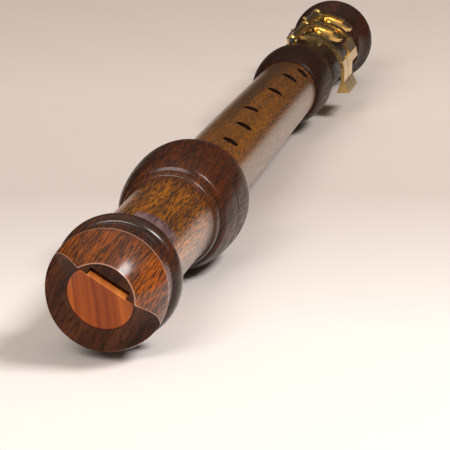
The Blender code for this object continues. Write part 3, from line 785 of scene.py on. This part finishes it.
@dataclass
class HeadJoint:
    """Head joint with beak, windway, window, labium, bore and socket, and its block."""

    finishes: Finishes
    tree: bpy.types.NodeTree
    end: float = 210.0
    tip_radius: float = 13.7
    ridge: float = 18.0
    ridge_radius: float = 23.0
    bore: float = 13.1 * MM
    socket: float = 15.3 * MM
    socket_depth: float = 38 * MM
    shoulder: float = 6.7 * MM
    floor: float = 7.8 * MM
    roof: float = 9.4 * MM
    windway_width: float = 17.0 * MM
    windway_length: float = 49.5 * MM
    window_width: float = 18.6 * MM
    cut_up: float = 7 * MM
    labium: float = 8.8 * MM
    labium_edge: float = 0.5 * MM
    labium_length: float = 15.5 * MM
    flat_end: float = 92 * MM
    neck: float = 18.3 * MM
    gap: float = 0.3 * MM
    ramp_start: float = 56.5 * MM
    ramp_end: float = 75 * MM

    def profile(self) -> Profile:
        """Outer shape of the head joint, from tip to socket mouth."""
        dome = []
        for step in range(25):
            share = step / 24
            swell = 1.5 * share - 0.5 * share ** 2
            dome.append((self.ridge * share, self.tip_radius + (self.ridge_radius - self.tip_radius) * swell))
        ridge = smooth_run([(18.0, 23.0), (18.5, 23.04), (19.0, 22.98), (19.5, 22.7), (20.0, 22.2)], 0.15)
        waist = smooth_run([(20.0, 22.2), (23.0, 21.85), (26.0, 21.7), (29.0, 21.75), (31.5, 21.8)])
        grooves = smooth_run([(31.5, 21.8), (31.75, 21.4), (32.0, 21.25), (32.25, 21.4), (32.5, 21.8),
                              (33.2, 21.8), (33.45, 21.4), (33.7, 21.25), (33.95, 21.4), (34.2, 21.8)], 0.12)
        bead = bead_run((35.0, 21.9), (40.0, 24.2), (45.0, 21.2))
        neck = smooth_run([(45.0, 21.2), (46.6, 19.8), (50.0, 18.9), (58.0, 18.2), (75.0, 18.0),
                           (125.0, 18.0), (140.0, 18.3), (142.6, 18.45)])
        lines = smooth_run([(142.6, 18.45), (142.8, 18.2), (143.0, 18.45), (143.7, 18.5), (143.9, 18.25),
                            (144.1, 18.5)], 0.1)
        small_bead = bead_run((144.5, 18.7), (148.0, 20.0), (151.2, 19.3))
        shoulder = smooth_run([(151.2, 19.3), (151.5, 19.3), (151.9, 20.6), (152.6, 21.5), (153.6, 22.0),
                               (156.0, 22.6), (162.0, 23.7), (168.8, 24.3)], 0.5)
        groove = smooth_run([(168.8, 24.3), (169.1, 23.9), (169.4, 23.75), (169.7, 23.9), (170.0, 24.35)], 0.12)
        bulge = smooth_run([(170.0, 24.35), (178.0, 24.85), (187.0, 25.0), (194.0, 24.6), (199.0, 23.7),
                            (203.0, 22.5), (204.6, 21.9), (205.2, 21.6), (205.8, 21.9), (206.4, 22.0),
                            (208.4, 21.6), (209.6, 20.6), (self.end, 19.4)], 0.6)
        return joined_runs(dome, ridge, waist, grooves, bead, neck, lines, small_bead, shoulder, groove, bulge)

    def air_before_beak(self, name: str, count: int = 84) -> bpy.types.Object:
        """Body of air in front of the hollow cut."""
        reach, top = 27 * MM, 11.5 * MM
        near, far = [], []
        for row in range(count + 1):
            z = -reach + (top + reach) * row / count
            near.append([Vector((-reach + 2 * reach * c / count, -20 * MM, z)) for c in range(count + 1)])
            far.append([Vector((p.x, max(BEAK_CUT.depth(p.x, z), -3 * MM), z)) for p in near[-1]])
        return between(name, near, far)

    def air_over_labium(self) -> bpy.types.Object:
        """Body of air over the labium, from its straight edge to the round of the neck."""
        columns, rows = 40, 24
        half = self.window_width / 2 - 0.1 * MM
        surface = self.neck + 0.5 * MM
        start = self.windway_length + self.cut_up
        low, high = [], []
        for row in range(-1, rows + 1):
            share = max(row, 0) / rows
            along = start + self.labium_length * share - (MM if row < 0 else 0)
            low.append([])
            for column in range(columns + 1):
                x = -half + 2 * half * column / columns
                z = self.labium + (math.sqrt(surface ** 2 - x ** 2) - self.labium) * share
                low[-1].append(Vector((x, along, z)))
            high.append([Vector((p.x, p.y, 30 * MM)) for p in low[-1]])
        return between("air over the labium", low, high)

    def tools(self) -> list[bpy.types.Object]:
        """Bodies of air that the head joint is worked with."""
        over = 5 * MM
        start, end = self.windway_length, self.windway_length + self.cut_up
        half, wide = self.windway_width / 2, self.window_width / 2
        socket = self.end * MM - self.socket_depth
        low, high = 2 * MM, 36 * MM
        return [
            self.air_before_beak("air before the beak"),
            prism("block bore", flat_bore(self.bore, self.shoulder), -over, start),
            prism("windway", [(-half, 0), (half, 0), (half, self.roof), (-half, self.roof)], -over, end - MM),
            prism("flat bore", flat_bore(self.bore, self.labium - self.labium_edge), start - MM,
                  self.flat_end),
            turned("round bore", [(self.flat_end / MM - 1, self.bore / MM), (socket / MM + 1, self.bore / MM)],
                   self.tree, None, 128),
            turned("socket", [(socket / MM, self.socket / MM), (self.end + 5, self.socket / MM)],
                   self.tree, None, 128),
            prism("window", [(start, low), (end, low), (end, high), (start, high)], -wide, wide, across=True),
            self.air_over_labium(),
        ]

    def mark(self, item: bpy.types.Object) -> None:
        """Give the bare faces their finish, and each point its distance from the edge of the cut, from the tip's
        rim and from the ridge; a pale line of painted highlight is laid where that distance is small.
        """
        mesh = item.data
        bores = self.bore + 0.2 * MM
        for face in mesh.polygons:
            x, y, z = face.center
            region = Region.POLISHED
            if y < 0.02 * MM or (abs(y - BEAK_CUT.depth(x, z)) < 0.12 * MM and z < self.roof):
                region = Region.BARE
            elif self.ramp_start < y < self.ramp_end and z > self.labium and face.normal.z > 0.3 and (
                    math.hypot(x, z) < self.neck - 0.05 * MM and abs(x) < self.window_width / 2 - 0.05 * MM):
                region = Region.PLANED
            # Faces inside the bores take the near-black finish of painted shade.
            elif math.hypot(x, z) < (bores if y < 165 * MM else self.socket + 0.2 * MM):
                region = Region.BORED
            face.material_index = region.value
        distance = mesh.attributes.new("edge_highlight_distance", "FLOAT", "POINT")
        values = []
        for point in mesh.vertices:
            x, y, z = point.co
            # Least distance to the cut's edge, the tip's rim and the ridge, which sets where the painted
            # highlight line goes.
            value = 9.0 if z > self.roof else (y - BEAK_CUT.depth(x, z)) / MM
            rim = abs(math.hypot(x, z) - self.tip_radius * MM) / MM if z > 6 * MM and y < 3 * MM else 9.0
            ridge = abs(y / MM - self.ridge - 0.4) * 0.8 + 0.08
            values.append(min(max(value, 0.0), rim + 0.12, ridge, 9.0))
        distance.data.foreach_set("value", values)

    def build(self) -> None:
        """Build the head joint and its block."""
        item = turned("head_joint_fine", self.profile(), self.tree, self.finishes["head rosewood"], 256)
        tooled(item, self.tools())
        item.data.materials.clear()
        for name in ("head rosewood", "bare rosewood", "planed rosewood with painted reflection", "bore rosewood with painted shade"):
            item.data.materials.append(self.finishes[name])
        self.mark(item)
        laid(shaded(item, 24))
        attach(item, "head")
        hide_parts("head_joint")
        LOG.info("head joint, %d faces", len(item.data.polygons))
        self.build_block()

    def build_block(self) -> None:
        """Build the windway block with its chamfered lip."""
        edge = self.windway_width / 2 - self.gap
        low = self.shoulder - self.gap
        outline = flat_bore(self.bore - self.gap / 2, low)
        outline += [(-edge, low), (-edge, self.floor), (edge, self.floor), (edge, low)]
        item = prism("windway_block_fine", outline, 0, self.windway_length - 0.5 * MM)
        height, depth, over = 1.6 * MM, 1.3 * MM, 5 * MM
        foot = self.floor - height
        chamfer = [(-over, foot - over * height / depth), (depth, self.floor), (depth, self.floor + over),
                   (-over, self.floor + over)]
        tooled(item, [self.air_before_beak("air before the block"),
                      prism("lip chamfer", chamfer, -20 * MM, 20 * MM, across=True)])
        item.data.materials.clear()
        item.data.materials.append(self.finishes["cedar face"])
        item.data.materials.append(self.finishes["cedar lip with painted light"])
        for face in item.data.polygons:
            x, y, z = face.center
            # Faces of the chamfer take the lighter cedar of painted light.
            on_lip = y < depth and z > foot - 0.3 * MM and face.normal.z > 0.5 and face.normal.y < -0.3
            face.material_index = 1 if on_lip else 0
        laid(shaded(item))
        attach(item, "head")
        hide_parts("windway_block")
        LOG.info("windway block, %d faces", len(item.data.polygons))


@dataclass
class MiddleJoint:
    """Middle joint with its tenons, corks, finger holes and thumb hole."""

    finishes: Finishes
    tree: bpy.types.NodeTree
    start: float = 172.3
    shoulder: float = 210.3
    foot_shoulder: float = 465.7
    end: float = 499.7
    upper_tenon: float = 14.7
    lower_tenon: float = 12.2
    cork_depth: float = 1.6
    land: float = 6.0
    bore_start: float = 12.0
    bore_end: float = 8.8
    holes: tuple[tuple[float, float, float], ...] = (
        (251.5, -3.0, 3.7), (290.0, -4.0, 3.8), (328.0, -15.0, 3.6), (385.0, -5.0, 3.8),
        (429.5, -3.0, 3.9), (455.0, 9.0, 3.5), (230.0, 177.0, 3.6),
    )

    def profile(self) -> Profile:
        """Outer shape from tenon to tenon."""
        up, low, deep, land = self.upper_tenon, self.lower_tenon, self.cork_depth, self.land
        upper = [(self.start, up - 0.6), (self.start + 0.8, up), (self.start + land, up),
                 (self.start + land, up - deep), (self.shoulder - land, up - deep),
                 (self.shoulder - land, up), (self.shoulder, up)]
        tube = [(self.shoulder, 15.5), (self.shoulder + 0.5, 15.9)]
        tube += smooth_run([(212.0, 15.9), (311.0, 15.7), (373.0, 15.3), (420.0, 14.9), (465.2, 14.7)], 2.0)
        lower = [(self.foot_shoulder, 14.3), (self.foot_shoulder + 0.01, low),
                 (self.foot_shoulder + land, low), (self.foot_shoulder + land, low - deep),
                 (self.end - land, low - deep), (self.end - land, low), (self.end - 0.8, low),
                 (self.end, low - 0.6)]
        return joined_runs(upper, tube, lower)

    def cork(self, name: str, first: float, last: float, tenon: float, node: str) -> None:
        """Build a cork ring between the lands of a tenon.

        Args:
            name: Name of the piece.
            first: Where the tenon begins.
            last: Where it ends.
            tenon: Radius of the tenon.
            node: The CAD node that it stands for.
        """
        start, end, top = first + self.land + 0.3, last - self.land - 0.3, tenon + 0.3
        outer = smooth_run([(start, top - 0.35), (start + 0.5, top), (end - 0.5, top), (end, top - 0.35)], 0.5)
        item = turned(name, outer, self.tree, self.finishes["cork"], 128)
        hole = tenon - self.cork_depth + 0.3
        inner = turned(name + " hole", [(start - 2, hole), (end + 2, hole)], self.tree, None, 128)
        tooled(item, [inner])
        laid(shaded(item))
        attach(item, "middle")
        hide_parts(node)
        LOG.info("%s, %d faces", name, len(item.data.polygons))

    def build(self) -> None:
        """Build the middle joint and its corks."""
        item = turned("middle_joint_fine", self.profile(), self.tree, self.finishes["middle rosewood"], 192)
        tools = [turned("bore", [(self.start - 1, self.bore_start), (self.end + 1, self.bore_end)],
                        self.tree, None, 128)]
        for index, (along, turn, radius) in enumerate(self.holes):
            angle = math.radians(turn)
            out = Vector((math.sin(angle), 0, math.cos(angle)))
            base = Vector((0, along * MM, 0))
            tools.append(bar("hole %d" % index, base + out * 6 * MM, base + out * 22 * MM, radius * MM, 64))
        tooled(item, tools)
        item.data.materials.clear()
        item.data.materials.append(self.finishes["middle rosewood"])
        item.data.materials.append(self.finishes["bore rosewood with painted shade"])
        for face in item.data.polygons:
            x, y, z = face.center
            # Faces inside the bore and holes take the near-black finish of painted shade.
            face.material_index = 1 if math.hypot(x, z) < 14.4 * MM and face.center.y < 0.46 else 0
        laid(shaded(item))
        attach(item, "middle")
        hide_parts("middle_joint")
        LOG.info("middle joint, %d faces", len(item.data.polygons))
        self.cork("upper_tenon_cork_fine", self.start, self.shoulder, self.upper_tenon, "upper_tenon_cork")
        self.cork("lower_tenon_cork_fine", self.foot_shoulder, self.end, self.lower_tenon, "lower_tenon_cork")


@dataclass
class FootJoint:
    """Foot joint with its socket, bell, tone holes and pad seats."""

    finishes: Finishes
    tree: bpy.types.NodeTree
    start: float = 466.0
    end: float = 640.0
    socket: float = 12.8
    socket_depth: float = 34.0
    bore: float = 8.4
    bell_bore: float = 10.2
    tone_holes: tuple[tuple[float, float], ...] = ((548.0, 4.0), (585.0, 4.6))
    seat_height: float = 14.4
    seat_radius: float = 9.0
    posts: tuple[float, ...] = (509.0, 557.0, 600.0)
    rod: tuple[float, float] = (-13.0, 14.2)
    post_hole: float = 1.9

    def profile(self) -> Profile:
        """Outer shape from socket mouth to bell."""
        bulge = smooth_run([(466.0, 15.0), (466.4, 15.6), (467.2, 16.2), (470.0, 17.1), (475.0, 17.9),
                            (482.0, 18.4), (490.0, 18.6), (498.0, 18.3), (503.0, 17.6), (505.4, 16.9)], 0.7)
        body = smooth_run([(506.0, 16.0), (512.0, 15.7), (560.0, 15.7), (604.0, 15.7), (609.0, 15.8)], 1.5)
        bead = bead_run((611.0, 16.0), (614.0, 17.6), (617.0, 16.4))
        bell = smooth_run([(617.3, 16.4), (621.0, 16.7), (626.0, 17.9), (630.0, 19.5), (632.0, 20.3),
                           (634.5, 20.88), (635.75, 20.9), (637.0, 20.88), (639.2, 20.3), (639.7, 19.9),
                           (640.0, 19.2)], 0.6)
        return joined_runs(bulge, body, bead, bell)

    def bore_profile(self) -> Profile:
        """Inner shape from socket to bell, with a hair of air beyond both ends."""
        floor = self.start + self.socket_depth
        return [(self.start - 1, self.socket), (floor, self.socket), (floor + 0.01, self.bore),
                (600.0, self.bore), (626.0, 9.0), (self.end, self.bell_bore), (self.end + 1, self.bell_bore)]

    def build(self) -> None:
        """Build the foot joint."""
        item = turned("foot_joint_fine", self.profile(), self.tree, self.finishes["foot rosewood"], 192)
        tools = [turned("foot bore", self.bore_profile(), self.tree, None, 128)]
        for along, radius in self.tone_holes:
            base = Vector((0, along * MM, 0))
            up = Vector((0, 0, 1))
            tools.append(bar("tone hole", base + up * 4 * MM, base + up * 22 * MM, radius * MM, 64))
            tools.append(bar("pad seat", base + up * self.seat_height * MM, base + up * 24 * MM,
                             self.seat_radius * MM, 96))
        out = Vector((self.rod[0], 0, self.rod[1])).normalized()
        for along in self.posts:
            base = Vector((0, along * MM, 0))
            tools.append(bar("post hole", base + out * 11.4 * MM, base + out * 22 * MM, self.post_hole * MM, 32))
        tooled(item, tools)
        item.data.materials.clear()
        item.data.materials.append(self.finishes["foot rosewood"])
        item.data.materials.append(self.finishes["bore rosewood with painted shade"])
        for face in item.data.polygons:
            x, y, z = face.center
            # Faces inside the bore and holes take the near-black finish of painted shade.
            face.material_index = 1 if math.hypot(x, z) < 13.0 * MM and abs(face.normal.y) < 0.9 else 0
        laid(shaded(item))
        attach(item, "foot")
        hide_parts("foot_joint")
        LOG.info("foot joint, %d faces", len(item.data.polygons))


@dataclass
class KeyWork:
    """The brass keys, posts, rod and springs of the foot."""

    finishes: Finishes

    def dress(self, nodes: dict[str, bpy.types.Object]) -> None:
        """Give the key work's solids their finishes."""
        for name, item in nodes.items():
            if "spring" in name or name == "key_rod":
                finish = "blued steel"
            elif "pad" in name:
                finish = "pad leather"
            elif "post" in name or "key" in name:
                finish = "brass"
            else:
                continue
            item.data.materials.clear()
            item.data.materials.append(self.finishes[finish])
            LOG.info("%s in %s", name, finish)


@dataclass
class Studio:
    """Pale table, soft light and camera."""

    # Tones of painted light and shade on the table, near to far, standing in for how the lamps' light falls on
    # it.
    table_painted_light_tones: tuple[tuple[float, tuple[float, float, float]], ...] = (
        (0.0, (0.92, 0.875, 0.845)), (0.50, (0.72, 0.645, 0.595)), (1.0, (0.85, 0.765, 0.705)),
    )
    painted_shade_slant: float = -0.15
    fade: tuple[float, float] = (-0.25, 0.27)
    camera_place: tuple[float, float, float] = (0.243978, -1.523281, 0.317702)
    lens: float = 281.9

    def table(self) -> None:
        """Build the table top, whose tone is painted light and shade: bright near, darker in the middle, lighter
        far off, the gradient slanted sideways.
        """
        shape = bmesh.new()
        bmesh.ops.create_grid(shape, x_segments=1, y_segments=1, size=4.0)
        item = from_bmesh("table", shape)
        made, shader = new_material("pale table")
        nodes, links = made.node_tree.nodes, made.node_tree.links
        split = nodes.new("ShaderNodeSeparateXYZ")
        links.new(nodes.new("ShaderNodeTexCoord").outputs["Object"], split.inputs["Vector"])
        tilt = nodes.new("ShaderNodeMath")
        tilt.operation = "MULTIPLY_ADD"
        tilt.inputs[1].default_value = self.painted_shade_slant
        links.new(split.outputs["X"], tilt.inputs[0])
        links.new(split.outputs["Y"], tilt.inputs[2])
        ramp = nodes.new("ShaderNodeValToRGB")
        links.new(ranged(made, tilt.outputs["Value"], *self.fade, 0.0, 1.0), ramp.inputs["Fac"])
        ramp.color_ramp.elements.new(0.5)
        for stop, (place, colour) in zip(ramp.color_ramp.elements, self.table_painted_light_tones):
            stop.position = place
            stop.color = (*colour, 1.0)
        links.new(ramp.outputs["Color"], shader.inputs["Base Color"])
        shader.inputs["Roughness"].default_value = 0.8
        shader.inputs["Specular IOR Level"].default_value = 0.1
        item.data.materials.append(made)

    def lamp(self, name: str, place: tuple[float, float, float], size: tuple[float, float], power: float,
             colour: tuple[float, float, float]) -> None:
        """Hang a soft oblong lamp that looks at the instrument's head."""
        data = bpy.data.lights.new(name, "AREA")
        data.shape = "RECTANGLE"
        data.size, data.size_y = size
        data.energy = power
        data.color = colour
        item = bpy.data.objects.new(name, data)
        bpy.context.scene.collection.objects.link(item)
        item.location = place
        aim = Vector((0.0, -0.2, 0.0)) - Vector(place)
        item.rotation_euler = aim.to_track_quat("-Z", "Y").to_euler()

    def build(self) -> None:
        """Build the studio and set the scene's camera."""
        scene = bpy.context.scene
        self.table()
        world = bpy.data.worlds.new("soft room")
        world.use_nodes = True
        nodes, links = world.node_tree.nodes, world.node_tree.links
        split = nodes.new("ShaderNodeSeparateXYZ")
        links.new(nodes.new("ShaderNodeTexCoord").outputs["Generated"], split.inputs["Vector"])
        high = nodes.new("ShaderNodeMapRange")
        high.interpolation_type = "SMOOTHSTEP"
        for name, value in (("From Min", 0.30), ("From Max", 0.85), ("To Min", 0.05), ("To Max", 0.42)):
            high.inputs[name].default_value = value
        links.new(split.outputs["Z"], high.inputs["Value"])
        links.new(high.outputs["Result"], nodes["Background"].inputs["Strength"])
        nodes["Background"].inputs["Color"].default_value = (1.0, 0.84, 0.72, 1.0)
        scene.world = world
        self.lamp("window lamp", (0.98, -0.44, 1.24), (0.70, 0.44), 19.5, (1.0, 0.98, 0.97))
        self.lamp("front lamp", (-0.40, -2.20, 1.30), (1.0, 1.0), 31.0, (1.0, 0.97, 0.94))
        data = bpy.data.cameras.new("camera")
        data.sensor_width = 36.0
        data.lens = self.lens
        data.clip_start = 0.05
        data.clip_end = 20.0
        camera = bpy.data.objects.new("camera", data)
        scene.collection.objects.link(camera)
        right = Vector((0.98679366, 0.16198232, 0.0))
        up = Vector((-0.03395450, 0.20688163, 0.97778323))
        back_way = right.cross(up)
        turn = Matrix((right, up, back_way)).transposed().to_4x4()
        camera.matrix_world = Matrix.Translation(self.camera_place) @ turn
        scene.camera = camera
        scene.view_settings.view_transform = "Standard"


def main() -> None:
    """Dress the recorder and set it in its studio."""
    logging.basicConfig(level=logging.INFO)
    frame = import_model()
    finishes = Finishes().build()
    tree = turned_tree()
    HeadJoint(finishes, tree).build()
    MiddleJoint(finishes, tree).build()
    FootJoint(finishes, tree).build()
    KeyWork(finishes).dress(frame["nodes"])
    Studio().build()


if __name__ == "__main__":
    main()
